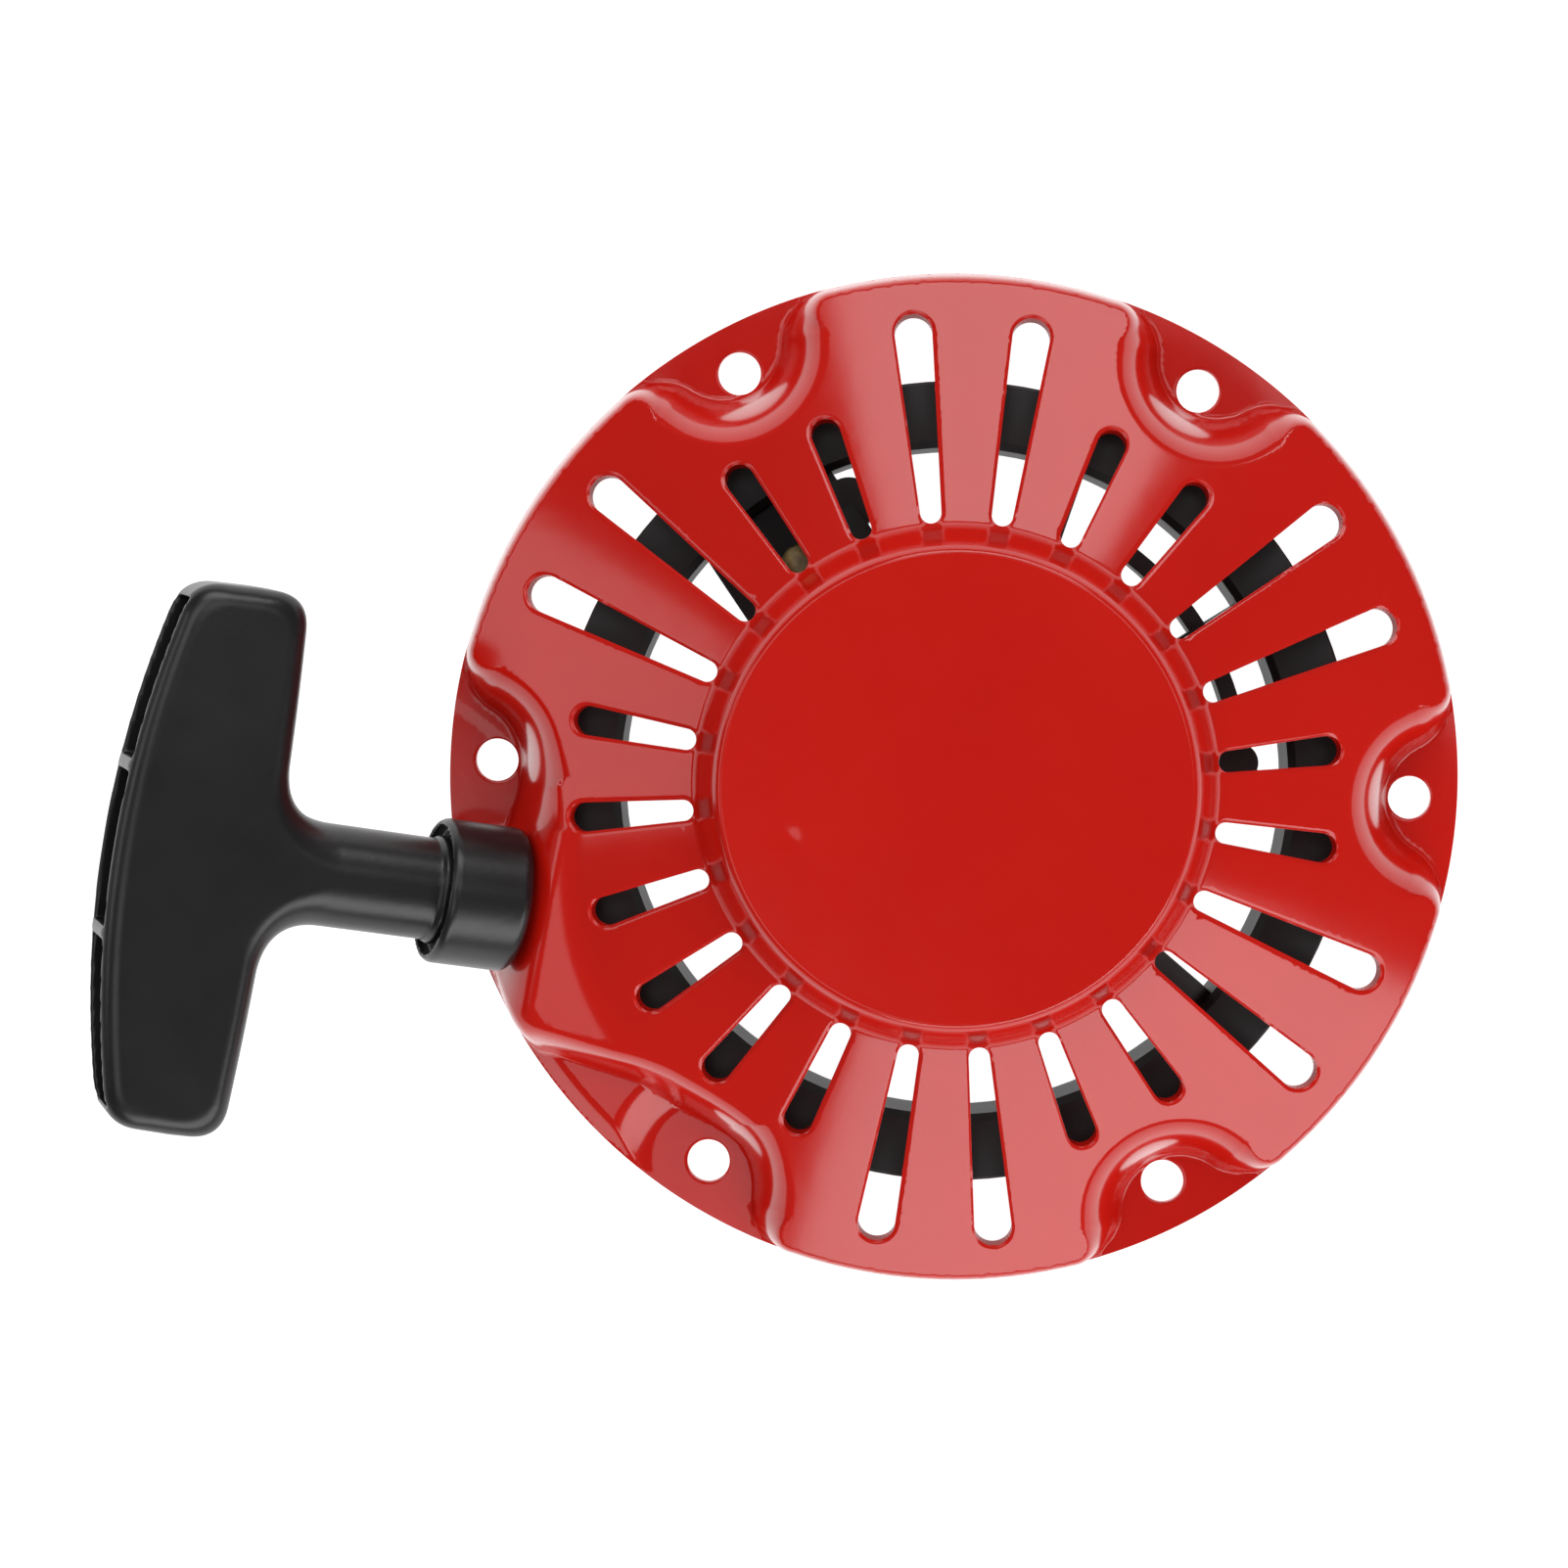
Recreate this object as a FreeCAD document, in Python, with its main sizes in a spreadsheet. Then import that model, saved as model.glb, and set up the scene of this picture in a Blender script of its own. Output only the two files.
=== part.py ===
# Recoil starter for a small engine: stamped cover, rope reel, return spring, pawls and pull grip.
# Millimetres. z = 0 is the engine side of the mounting feet, +Z points out of the cover,
# and the first bolt hole lies on +X.
import math
import os

import FreeCAD
import Part
from FreeCAD import Placement, Rotation
from FreeCAD import Vector as V

os.makedirs("parts", exist_ok=True)
doc = FreeCAD.newDocument("recoil_starter")

# ---------------------------------------------------------------- driving dimensions
DIMS = {
    "bolt_circle": 154.0,        # six holes
    "bolt_hole_radius": 3.6,     # clearance for M6
    "sheet": 1.4,                # steel sheet of the cover
    "foot_radius": 85.0,         # outside of the cover at the mounting plane
    "cover_height": 46.0,        # top of the middle disc
    "disc_radius": 36.6,         # flat middle disc
    "cone_outer_radius": 76.9,   # a point on the sloping face, near the rim
    "cone_outer_height": 17.0,
    "cone_inner_radius": 42.0,   # a point on the sloping face, near the disc
    "cone_inner_height": 33.5,
    "notch_radius": 11.8,        # curved pocket round each bolt
    "notch_offset": 6.0,         # its centre, outward of the bolt
    "flare_radius": 8.2,         # rounding from the pocket out to the rim
    "long_slot_end": 73.8,       # centres of the slot end arcs
    "short_slot_end": 60.4,
    "inner_slot_end": 43.7,
    "inner_slot_width": 3.4,
    "long_slot_width": 6.2,
    "short_slot_width": 4.8,
    "post_radius": 6.0,
    "bush_bore_radius": 6.05,
    "bush_radius": 8.0,
    "rope_radius": 1.75,
    "coil_radius": 59.5,         # rope centre line on the reel
    "coil_pitch": 3.51,
    "reel_ring_bore": 54.8,
    "reel_core_radius": 57.6,
    "reel_flange_radius": 65.6,
    "reel_bottom": 2.6,
    "reel_top": 18.4,
    "reel_flange_thickness": 1.3,
    "hub_plate_bottom": 22.0,
    "hub_plate_top": 25.0,
    "hub_plate_radius": 38.0,
    "cup_radius": 33.0,
    "cup_bore": 31.0,
    "cup_top": 40.0,
    "pawl_pivot": 26.0,
    "pin_radius": 2.0,
    "pin_bore_radius": 2.05,
    "pawl_length": 17.0,
    "pawl_lean": 115.0,          # arm direction, behind the pivot's own radius
    "pull_angle": 172.6,         # plan direction of the rope as it leaves
    "pull_tilt": 22.0,           # rise of the rope as it leaves
    "pull_reach": 68.2,          # seat of the grip, along the pull
    "pull_offset": 31.9,         # and to the side of the middle
    "pull_height": 13.0,
    "collar_radius": 12.0,
    "collar_length": 14.5,
    "neck_radius": 8.2,
    "bar_start": 42.0,           # handle bar, measured from the seat
    "bar_depth": 26.0,
    "bar_length": 88.8,
    "bar_thickness": 15.5,
    "bar_wall": 2.6,
}
sheet = doc.addObject("Spreadsheet::Sheet", "dims")
for row, (name, value) in enumerate(DIMS.items(), 1):
    sheet.set(f"A{row}", name)
    sheet.set(f"B{row}", str(value))
    sheet.setAlias(f"B{row}", name)
doc.recompute()
D = {name: float(sheet.get(name)) for name in DIMS}

T = D["sheet"]
BOLT_R = D["bolt_circle"] / 2
SLOPE = (D["cone_inner_height"] - D["cone_outer_height"]) / (D["cone_outer_radius"] - D["cone_inner_radius"])
WHOLE = Placement()
made = {}


def cone_height(radius):
    return D["cone_outer_height"] + (D["cone_outer_radius"] - radius) * SLOPE


def polar_point(radius, degrees, z=0.0):
    a = math.radians(degrees)
    return V(radius * math.cos(a), radius * math.sin(a), z)


# ---------------------------------------------------------------- helpers
def new_body(name):
    body = doc.addObject("PartDesign::Body", name)
    body.Label = name
    return body


def sketch(body, plane, curves, offset=WHOLE):
    sk = body.newObject("Sketcher::SketchObject", body.Name + "_sketch")
    base = next(f for f in body.Origin.OriginFeatures if f.Role == plane)
    sk.AttachmentSupport = [(base, "")]
    sk.MapMode = "FlatFace"
    sk.AttachmentOffset = offset
    sk.addGeometry(curves, False)
    return sk


def at_height(z):
    return Placement(V(0, 0, z), Rotation())


def turned(degrees):
    """Offset that turns an upright XZ sketch plane about the reel axis."""
    return Placement(V(0, 0, 0), Rotation(V(0, 1, 0), degrees))


def feature(body, kind, sk, **props):
    f = body.newObject("PartDesign::" + kind, f"{body.Name}_{kind.lower()}")
    f.Profile = sk
    for key, value in props.items():
        if isinstance(value, str) and value.startswith("="):
            f.setExpression(key, value[1:])
        else:
            setattr(f, key, value)
    body.Tip = f
    return f


def revolve(body, points, plane="XZ_Plane", kind="Revolution"):
    sk = sketch(body, plane, points)
    return feature(body, kind, sk, ReferenceAxis=(sk, ["V_Axis"]), Angle=360)


def pattern(body, features, count, angle=360):
    f = body.newObject("PartDesign::PolarPattern", body.Name + "_pattern")
    f.Originals = features
    f.Axis = (features[0].Profile[0], ["N_Axis"])
    f.Angle = angle
    f.Occurrences = count
    body.Tip = f
    return f


def polyline(*points):
    pts = [V(x, y, 0) for x, y in points]
    return [Part.LineSegment(a, b) for a, b in zip(pts, pts[1:] + pts[:1])]


def rounded(points):
    """Closed outline from (x, y, radius) corners; radius 0 keeps the corner sharp."""
    n = len(points)
    starts, ends, arcs = [], [], []
    for i, (x, y, r) in enumerate(points):
        p = V(x, y, 0)
        if not r:
            starts.append(p)
            ends.append(p)
            arcs.append(None)
            continue
        a = (V(*points[i - 1][:2], 0) - p).normalize()
        b = (V(*points[(i + 1) % n][:2], 0) - p).normalize()
        half = a.getAngle(b) / 2
        bisector = (a + b).normalize()
        centre = p + bisector * (r / math.sin(half))
        starts.append(p + a * (r / math.tan(half)))
        ends.append(p + b * (r / math.tan(half)))
        arcs.append(Part.Arc(starts[-1], centre - bisector * r, ends[-1]))
    curves = []
    for i in range(n):
        if arcs[i]:
            curves.append(arcs[i])
        nxt = starts[(i + 1) % n]
        if (nxt - ends[i]).Length > 1e-6:
            curves.append(Part.LineSegment(ends[i], nxt))
    return curves


def ring(*radii):
    return [Part.Circle(V(0, 0, 0), V(0, 0, 1), r) for r in radii]


def disc_at(x, y, r):
    return Part.Circle(V(x, y, 0), V(0, 0, 1), r)


def slot(p, q, rp, rq):
    """Outline of a slot from p to q with end radii rp and rq, sides tangent to both."""
    along = (q - p).normalize()
    side = V(-along.y, along.x, 0)
    lean = (rp - rq) / (q - p).Length
    up = side * math.sqrt(1 - lean * lean) + along * lean
    down = side * -math.sqrt(1 - lean * lean) + along * lean
    a, b, c, d = p + up * rp, q + up * rq, q + down * rq, p + down * rp
    return [Part.LineSegment(a, b), Part.Arc(b, q + along * rq, c),
            Part.LineSegment(c, d), Part.Arc(d, p - along * rp, a)]


def boolean(kind, name, base, tools):
    """Part::Cut, Part::Fuse or Part::Common of base with each tool in turn."""
    for i, tool in enumerate(tools):
        f = doc.addObject("Part::" + kind, f"{name}_{i}")
        f.Base, f.Tool = base, tool
        base = f
    base.Label = name
    return base


def keep(name, obj):
    obj.Label = name
    made[name] = obj
    return obj


def sweep_along(name, spine, radius, start, tangent):
    """Round rope or wire: a circle swept along a spine object."""
    circle = doc.addObject("Part::Circle", name + "_section")
    circle.Radius = radius
    circle.Placement = Placement(start, Rotation(V(0, 0, 1), tangent))
    path = doc.addObject("Part::Sweep", name)
    path.Sections = [circle]
    path.Spine = (spine, [f"Edge{i + 1}" for i in range(len(spine.Shape.Edges))])
    path.Solid = True
    path.Frenet = False
    return path


# ---------------------------------------------------------------- pull axis frame
PULL_PLAN = polar_point(1, D["pull_angle"])
PULL_SIDE = V(PULL_PLAN.y * -1, PULL_PLAN.x, 0)
SEAT = PULL_PLAN * D["pull_reach"] + PULL_SIDE * D["pull_offset"] + V(0, 0, D["pull_height"])
TILT = math.radians(D["pull_tilt"])
PULL = PULL_PLAN * math.cos(TILT) + V(0, 0, math.sin(TILT))
PULL_UP = V(0, 0, math.cos(TILT)) - PULL_PLAN * math.sin(TILT)
# local x = up and back, local y = sideways, local z = the way the grip is pulled
PULL_FRAME = Placement(SEAT, Rotation(PULL_UP, PULL.cross(PULL_UP), PULL, "ZXY"))


# ---------------------------------------------------------------- starter_case
def case_profile(inset):
    """Half section of the cover; inset 0 is outside, inset = sheet is inside."""
    foot = D["foot_radius"] - inset
    rim = foot - 1.2
    drop = inset * math.hypot(1, SLOPE)
    top = D["cover_height"] - inset
    step = D["cone_inner_radius"] - 0.6 - inset
    disc = D["disc_radius"] + 1.4 - inset
    low = -2.0 if inset else 0.0
    corners = [(0, low, 0), (foot, low, 0), (foot, 0.5, 0),
               (rim, cone_height(rim) - drop, 3.4 - inset),
               (step, cone_height(step) - drop, 1.2 + inset), (disc, top, 2.6 - inset), (0, top, 0)]
    return rounded(corners)


def notch_outline(inset):
    """Pocket round the bolt on +X: a circle with flares out to the rim."""
    rim = D["foot_radius"] - 1.2
    cx = BOLT_R + D["notch_offset"]
    rn, rf = D["notch_radius"] + inset, D["flare_radius"] - inset
    reach = rim - rf
    turn = math.degrees(math.acos((cx * cx + reach * reach - (rn + rf) ** 2) / (2 * cx * reach)))
    flare, rim_pt, wide = (polar_point(r, turn) for r in (reach, rim, 96.0))
    centre = V(cx, 0, 0)
    touch = centre + (flare - centre).normalize() * rn
    mid = flare + ((touch - flare).normalize() + (rim_pt - flare).normalize()).normalize() * rf

    def flip(p):
        return V(p.x, -p.y, 0)

    return [Part.Arc(rim_pt, mid, touch), Part.Arc(touch, V(cx - rn, 0, 0), flip(touch)),
            Part.Arc(flip(touch), flip(mid), flip(rim_pt)), Part.LineSegment(flip(rim_pt), flip(wide)),
            Part.LineSegment(flip(wide), wide), Part.LineSegment(wide, rim_pt)]


def case_solid(name, inset):
    body = new_body(name)
    revolve(body, case_profile(inset))
    start = -3.0 if inset else T
    notch = feature(body, "Pocket", sketch(body, "XY_Plane", notch_outline(inset), at_height(start)),
                    Length=60, Reversed=True)
    pattern(body, [notch], 6)
    return body


case_outer = case_solid("case_outer", 0.0)
case_core = case_solid("case_core", T)

inner_r, long_r, short_r = (D[k] / 2 for k in ("inner_slot_width", "long_slot_width", "short_slot_width"))


def vent(body, angles, end, end_r, count, sweep):
    curves = []
    for a in angles:
        curves += slot(polar_point(D["inner_slot_end"], a), polar_point(end, a), inner_r, end_r)
    f = feature(body, "Pocket", sketch(body, "XY_Plane", curves, at_height(-1)), Length=60, Reversed=True)
    return pattern(body, [f], count, sweep) if count > 1 else f


vent(case_outer, (262.5, 277.5), D["long_slot_end"], long_r, 5, 240)
vent(case_outer, (-7.5, 7.5), D["short_slot_end"], short_r, 6, 360)
vent(case_outer, (202.5, 217.5), D["short_slot_end"], short_r, 1, 0)
holes = feature(case_outer, "Pocket",
                sketch(case_outer, "XY_Plane", [disc_at(BOLT_R, 0, D["bolt_hole_radius"])], at_height(-1)),
                Length=10, Reversed=True)
pattern(case_outer, [holes], 6)


def outlet_tools(inset):
    """Blocks that open the cover in front of the rope outlet, shifted inward by inset."""
    front = doc.addObject("Part::Box", f"outlet_front_{'in' if inset else 'out'}")
    front.Length, front.Width, front.Height = 70, 44, 40
    front.Placement = PULL_FRAME.multiply(Placement(V(-35, -25, -inset), Rotation()))
    side = doc.addObject("Part::Box", f"outlet_side_{'in' if inset else 'out'}")
    side.Length, side.Width, side.Height = 44, 40, 60
    side.Placement = Placement(V(-36.5, -55.5, 0), Rotation(V(0, 0, 1), 167))
    side.Placement = side.Placement.multiply(
        Placement(V(0, -inset, 0), Rotation(V(1, 0, 0), -10))).multiply(Placement(V(0, 0, -20), Rotation()))
    lift = doc.addObject("Part::Box", f"outlet_floor_{'in' if inset else 'out'}")
    lift.Length = lift.Width = 260
    lift.Height = 80
    lift.Placement = Placement(V(-130, -130, -3 if inset else T), Rotation())
    both = boolean("Fuse", "outlet_blocks", front, [side])
    return boolean("Common", "outlet_cut", both, [lift])


outer = boolean("Cut", "case_outside", case_outer, [outlet_tools(0.0)])
core = boolean("Cut", "case_inside", case_core, [outlet_tools(T)])
eyelet = doc.addObject("Part::Cylinder", "outlet_bore")
eyelet.Radius, eyelet.Height = 4.5, 12
eyelet.Placement = PULL_FRAME.multiply(at_height(-6))
keep("starter_case", boolean("Cut", "starter_case", outer, [core, eyelet]))


# ---------------------------------------------------------------- case_plate and center_post
def pad(body, curves, low, high, plane="XY_Plane", offset=None):
    sk = sketch(body, plane, curves, offset or at_height(low))
    return feature(body, "Pad", sk, Length=high - low)


def pocket_up(body, curves, low, high):
    return feature(body, "Pocket", sketch(body, "XY_Plane", curves, at_height(low)),
                   Length=high - low, Reversed=True)


inner_top = D["cover_height"] - T
plate = new_body("case_plate")
pad(plate, ring(28.0, 4.0), inner_top - 1.2, inner_top)
pattern(plate, [pocket_up(plate, [disc_at(19, 0, 2.5)], inner_top - 2, inner_top + 1)], 6)
keep("case_plate", plate)

post = new_body("center_post")
pr = D["post_radius"]
revolve(post, rounded([(3.0, 16.3, 0), (pr, 16.3, 0.5), (pr, 42.0, 0.6), (12.0, 42.0, 0.4), (12.0, 43.4, 0),
                       (4.0, 43.4, 0), (4.0, inner_top, 0), (0, inner_top, 0), (0, 36.0, 0), (3.0, 36.0, 0)]))
pocket_up(post, polyline((3.6, -0.6), (7.0, -0.6), (7.0, 0.6), (3.6, 0.6)), 27.5, 39.0)
keep("center_post", post)

bolt = new_body("center_bolt")
hexagon = polyline(*[(5.77 * math.cos(math.radians(60 * i)), 5.77 * math.sin(math.radians(60 * i)))
                     for i in range(6)])
pad(bolt, hexagon, 9.4, 13.0)
pad(bolt, ring(7.2), 12.9, 13.9)
pad(bolt, ring(3.0), 13.8, 35.0)
keep("center_bolt", bolt)

washer = new_body("thrust_washer")
pad(washer, ring(8.4, 3.05), 13.9, 14.9)
keep("thrust_washer", washer)

# ---------------------------------------------------------------- reel
zb, zt, ft = D["reel_bottom"], D["reel_top"], D["reel_flange_thickness"]
rb, rc, rf = D["reel_ring_bore"], D["reel_core_radius"], D["reel_flange_radius"]
hub_low, hub_high = D["hub_plate_bottom"], D["hub_plate_top"]

reel = new_body("reel")
revolve(reel, rounded([(rb, zb + 1.1, 0), (rb + 1.1, zb, 0), (rf - 0.8, zb, 0.5), (rf - 0.8, zb + ft, 0.5), (rc, zb + ft, 0.4),
                       (rc, zt - ft, 0.4), (rf, zt - ft, 0.5), (rf, zt, 0.5), (rb + 1.2, zt, 0), (rb, zt - 1.2, 0)]))
spoke_side = polyline((30, hub_low + 0.1), (30, hub_high - 0.1), (37.5, hub_high - 0.1), (rb + 1.6, zt - 3.2),
                      (rb + 1.6, zb + 6.0), (37.5, hub_low + 0.1))
SPOKES = {32: 5.0, 72: 5.0, 127: 25.0, 225: 5.0, 321: 4.0}
for angle, width in SPOKES.items():
    sk = sketch(reel, "XZ_Plane", spoke_side, turned(angle))
    web = feature(reel, "Pad", sk, Length=width)
    if hasattr(web, "SideType"):
        web.SideType = "Symmetric"
    else:
        web.Midplane = True
revolve(reel, rounded([(D["bush_radius"], hub_low, 0), (D["hub_plate_radius"], hub_low, 0.8),
                       (D["hub_plate_radius"], hub_high, 0.8), (D["cup_radius"], hub_high, 0),
                       (D["cup_radius"], D["cup_top"], 0.5), (D["cup_bore"], D["cup_top"], 0.3),
                       (D["cup_bore"], hub_high, 1.0), (11.0, hub_high, 1.0), (11.0, hub_high + 2, 0.4),
                       (D["bush_radius"], hub_high + 2, 0)]))


def arc_band(r1, r2, a1, a2):
    """Curved bar between two radii with rounded ends."""
    rm, a_mid = (r1 + r2) / 2, (a1 + a2) / 2
    bulge = math.degrees((r2 - r1) / 2 / rm)
    return [Part.Arc(polar_point(r2, a1), polar_point(r2, a_mid), polar_point(r2, a2)),
            Part.Arc(polar_point(r2, a2), polar_point(rm, a2 + bulge), polar_point(r1, a2)),
            Part.Arc(polar_point(r1, a2), polar_point(r1, a_mid), polar_point(r1, a1)),
            Part.Arc(polar_point(r1, a1), polar_point(rm, a1 - bulge), polar_point(r2, a1))]


pad(reel, arc_band(45.6, 48.4, 7, 57), 12.5, 19.5)
boss = polar_point(46.5, 6.4)
pad(reel, [disc_at(boss.x, boss.y, 3.2)], 12.5, 20.0)
boss = polar_point(48.6, 113)
pad(reel, [disc_at(boss.x, boss.y, 4.4)], 12.5, 20.0)
pins = pocket_up(reel, [disc_at(D["pawl_pivot"], 0, D["pin_radius"])], hub_low - 1, hub_high + 1)
pattern(reel, [pins], 2)
knot_at = polar_point(43.0, 127)
pocket_up(reel, [disc_at(knot_at.x, knot_at.y, 2.5)], zb, hub_high + 1)
rope_z = zb + ft + D["rope_radius"] + 0.1
passage = sketch(reel, "YZ_Plane", slot(V(-2.2, rope_z + 0.2, 0), V(0, rope_z + 0.3, 0), 2.15, 2.15),
                 Placement(V(0, 0, 0), Rotation(V(0, 1, 0), 127)).multiply(Placement(V(0, 0, 52), Rotation())))
hole = feature(reel, "Pocket", passage, Length=8, Reversed=True)
keep("reel", reel)

bush = new_body("reel_bush")
revolve(bush, rounded([(D["bush_bore_radius"], hub_low, 0), (D["bush_radius"], hub_low, 0),
                       (D["bush_radius"], hub_high + 2, 0.3), (D["bush_bore_radius"], hub_high + 2, 0)]))
keep("reel_bush", bush)

# ---------------------------------------------------------------- main_spring and spring_cover
spiral = doc.addObject("Part::Spiral", "spring_line")
spiral.Radius, spiral.Growth, spiral.Rotations, spiral.SegmentLength = 7.2, 2.0, 11.5, 1.0
spiral.Placement = at_height(28.0)
strip = doc.addObject("Part::Plane", "spring_strip")
strip.Length, strip.Width = 0.7, 10.0
strip.Placement = Placement(V(7.2 - 0.35, 0, 28.0), Rotation(V(1, 0, 0), 90))
spring = doc.addObject("Part::Sweep", "main_spring")
spring.Sections = [strip]
doc.recompute()
spring.Spine = (spiral, [f"Edge{i + 1}" for i in range(len(spiral.Shape.Edges))])
spring.Solid, spring.Frenet = True, True
keep("main_spring", spring)

cover = new_body("spring_cover")
pad(cover, ring(D["cup_radius"], 9.5), D["cup_top"], D["cup_top"] + 0.9)
pattern(cover, [pocket_up(cover, [disc_at(24, 0, 2.0)], D["cup_top"] - 1, D["cup_top"] + 2)], 3)
keep("spring_cover", cover)

# ---------------------------------------------------------------- pawls, pins, springs, ratchet guide
PAWL_LOW, PAWL_HIGH = 17.5, 20.3


def lean(along, across):
    """Point in the pawl's own frame, along and across its arm."""
    a = math.radians(-D["pawl_lean"])
    return (along * math.cos(a) - across * math.sin(a), along * math.sin(a) + across * math.cos(a))


def rope(name, points, radius=None):
    """A rope or wire through the given points, as a round section swept along a smooth line."""
    line = doc.addObject("Part::Feature", name + "_line")
    curve = Part.BSplineCurve()
    curve.interpolate(points)
    line.Shape = Part.Wire([curve.toShape()])
    tangent = curve.tangent(curve.FirstParameter)[0]
    return sweep_along(name, line, radius or D["rope_radius"], points[0], tangent)


def wire_coil(name, radius, pitch, turns, wire, low):
    """A coil spring of round wire standing at the given height."""
    n = round(turns * 12)
    return rope(name, [polar_point(radius, 360 * turns * i / n, low + pitch * turns * i / n) for i in range(n + 1)], wire)


stud = lean(8.0, 0.0)
arm = [(-3.6, -3.6, 3.4), (-3.6, 3.6, 3.4), (6.0, 4.0, 3.0), (15.5, 3.2, 1.2), (D["pawl_length"] + 0.6, -0.4, 0.6),
       (14.0, -2.4, 1.0), (5.0, -3.6, 3.0)]
for tag, angle in (("a", 0), ("b", 180)):
    spot = Placement(polar_point(D["pawl_pivot"], angle), Rotation(V(0, 0, 1), angle))
    pawl = new_body("pawl_" + tag)
    pad(pawl, rounded([(*lean(x, y), r) for x, y, r in arm]), PAWL_LOW, PAWL_HIGH)
    pocket_up(pawl, ring(D["pin_bore_radius"]), PAWL_LOW - 1, PAWL_HIGH + 1)
    pad(pawl, [disc_at(*stud, 1.3)], 14.6, PAWL_LOW + 0.1)
    pawl.Placement = spot
    keep("pawl_" + tag, pawl)

    pin = new_body("pawl_pin_" + tag)
    pad(pin, ring(3.2), 16.35, 17.2)
    pad(pin, ring(D["pin_radius"]), 17.1, hub_high)
    pin.Placement = spot
    keep("pawl_pin_" + tag, pin)

    coil = wire_coil("pawl_spring_" + tag, 2.9, 0.75, 1.25, 0.3, 20.7)
    coil.Placement = spot
    keep("pawl_spring_" + tag, coil)

guide = new_body("ratchet_guide")
pad(guide, ring(12.0), 15.0, 16.2)
ear_turn = math.radians(-23.5)
ear = [(x * math.cos(ear_turn) - y * math.sin(ear_turn), x * math.sin(ear_turn) + y * math.cos(ear_turn), r)
       for x, y, r in ((9, -6.8, 0), (29.8, -7.4, 3.0), (29.8, 6.4, 3.0), (9, 6.8, 0))]
ears = pad(guide, rounded(ear), 15.0, 16.2)
pattern(guide, [ears], 2)
# the slot follows the stud as the pawl turns twice as far as the guide
cam = slot(polar_point(23.80, -17.71), polar_point(27.11, -29.11), 1.65, 1.65)
pattern(guide, [pocket_up(guide, cam, 14, 17)], 2)
pocket_up(guide, ring(3.06), 14, 17)
keep("ratchet_guide", guide)
keep("friction_spring", wire_coil("friction_spring", 7.3, 1.45, 3.0, 0.5, 16.9))

# ---------------------------------------------------------------- rope
ENTRY = SEAT - PULL * 8.5
entry_r = math.hypot(ENTRY.x, ENTRY.y)
leave = math.degrees(math.atan2(ENTRY.y, ENTRY.x)) % 360 + math.degrees(math.acos(D["coil_radius"] / entry_r))
COIL_START = 115.0
turns = (COIL_START + 1080.0 - leave) / 360.0
COIL_TOP = rope_z + turns * D["coil_pitch"]
leave_pt = polar_point(D["coil_radius"], leave, COIL_TOP)
leave_dir = polar_point(1, leave - 90)


coil_points = [knot_at + V(0, 0, 23.9), knot_at + V(0, 0, 19.5), polar_point(43.2, 127, 16.5),
               polar_point(45.0, 127, 11.2), polar_point(48.6, 127, 7.4), polar_point(52.5, 127, rope_z + 0.4),
               polar_point(55.6, 126.6, rope_z + 0.15), polar_point(58.2, 124.0, rope_z + 0.05)]
steps = int(turns * 12)
for i in range(steps + 1):
    coil_points.append(polar_point(D["coil_radius"], COIL_START - 360 * turns * i / steps,
                                   rope_z + D["coil_pitch"] * turns * i / steps))
coil_points += [leave_pt + leave_dir * 6, leave_pt + leave_dir * 12, leave_pt + leave_dir * 18]
keep("rope_coil", rope("rope_coil", coil_points))

lead_points = [leave_pt + leave_dir * 18.4, leave_pt + leave_dir * 22 + V(0, 0, -0.3),
               ENTRY - leave_dir * 4 + V(0, 0, 0.6), SEAT - PULL * 6, SEAT - PULL * 3, SEAT + V(0, 0, 0)]
keep("rope_lead", rope("rope_lead", lead_points))

pull_rope = doc.addObject("Part::Cylinder", "rope_pull")
pull_rope.setExpression("Radius", "dims.rope_radius")
pull_rope.Height = D["bar_start"] + 4.6
pull_rope.Placement = PULL_FRAME.multiply(at_height(0.3))
keep("rope_pull", pull_rope)


def knot(name, radius, height, placement):
    """A pulled-up stopper knot: two fat loops of rope with a rounded end."""
    body = new_body(name)
    revolve(body, rounded([(0, 0, 0), (radius * 0.86, 0, 1.3), (radius, height * 0.28, 1.2),
                           (radius * 0.84, height * 0.5, 0.5), (radius * 0.9, height * 0.75, 1.0),
                           (radius * 0.5, height, 0.9), (0, height, 0)]))
    body.Placement = placement
    return keep(name, body)


knot("rope_knot_reel", 3.7, 6.0, Placement(knot_at + V(0, 0, 24.1), Rotation()))
knot("rope_knot_grip", 4.1, 7.0, PULL_FRAME.multiply(at_height(D["bar_start"] + 5.2)))

# ---------------------------------------------------------------- rope_guide and guide_retainer
eye = new_body("rope_guide")
revolve(eye, rounded([(2.6, -5.6, 0.9), (6.4, -5.6, 0.5), (6.4, -2.9, 0), (4.5, -2.9, 0), (4.5, 0.05, 0),
                      (6.0, 0.05, 0), (6.0, 1.7, 0.5), (2.6, 1.7, 0.9)]))
eye.Placement = PULL_FRAME
keep("rope_guide", eye)
clip = new_body("guide_retainer")
pad(clip, rounded([(3.2, 4.5, 0), (3.2, 7.6, 0.8), (-7.4, 7.6, 2.5), (-7.4, -7.6, 2.5), (3.2, -7.6, 0.8),
                   (3.2, -4.5, 0), (-4.5, -4.5, 4.4), (-4.5, 4.5, 4.4)]), -2.8, -T)
clip.Placement = PULL_FRAME
keep("guide_retainer", clip)

# ---------------------------------------------------------------- grip, knot washer
cr, cl, nr = D["collar_radius"], D["collar_length"], D["neck_radius"]
bs, bd, half = D["bar_start"], D["bar_depth"], D["bar_length"] / 2
bt, bw = D["bar_thickness"], D["bar_wall"]


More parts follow.
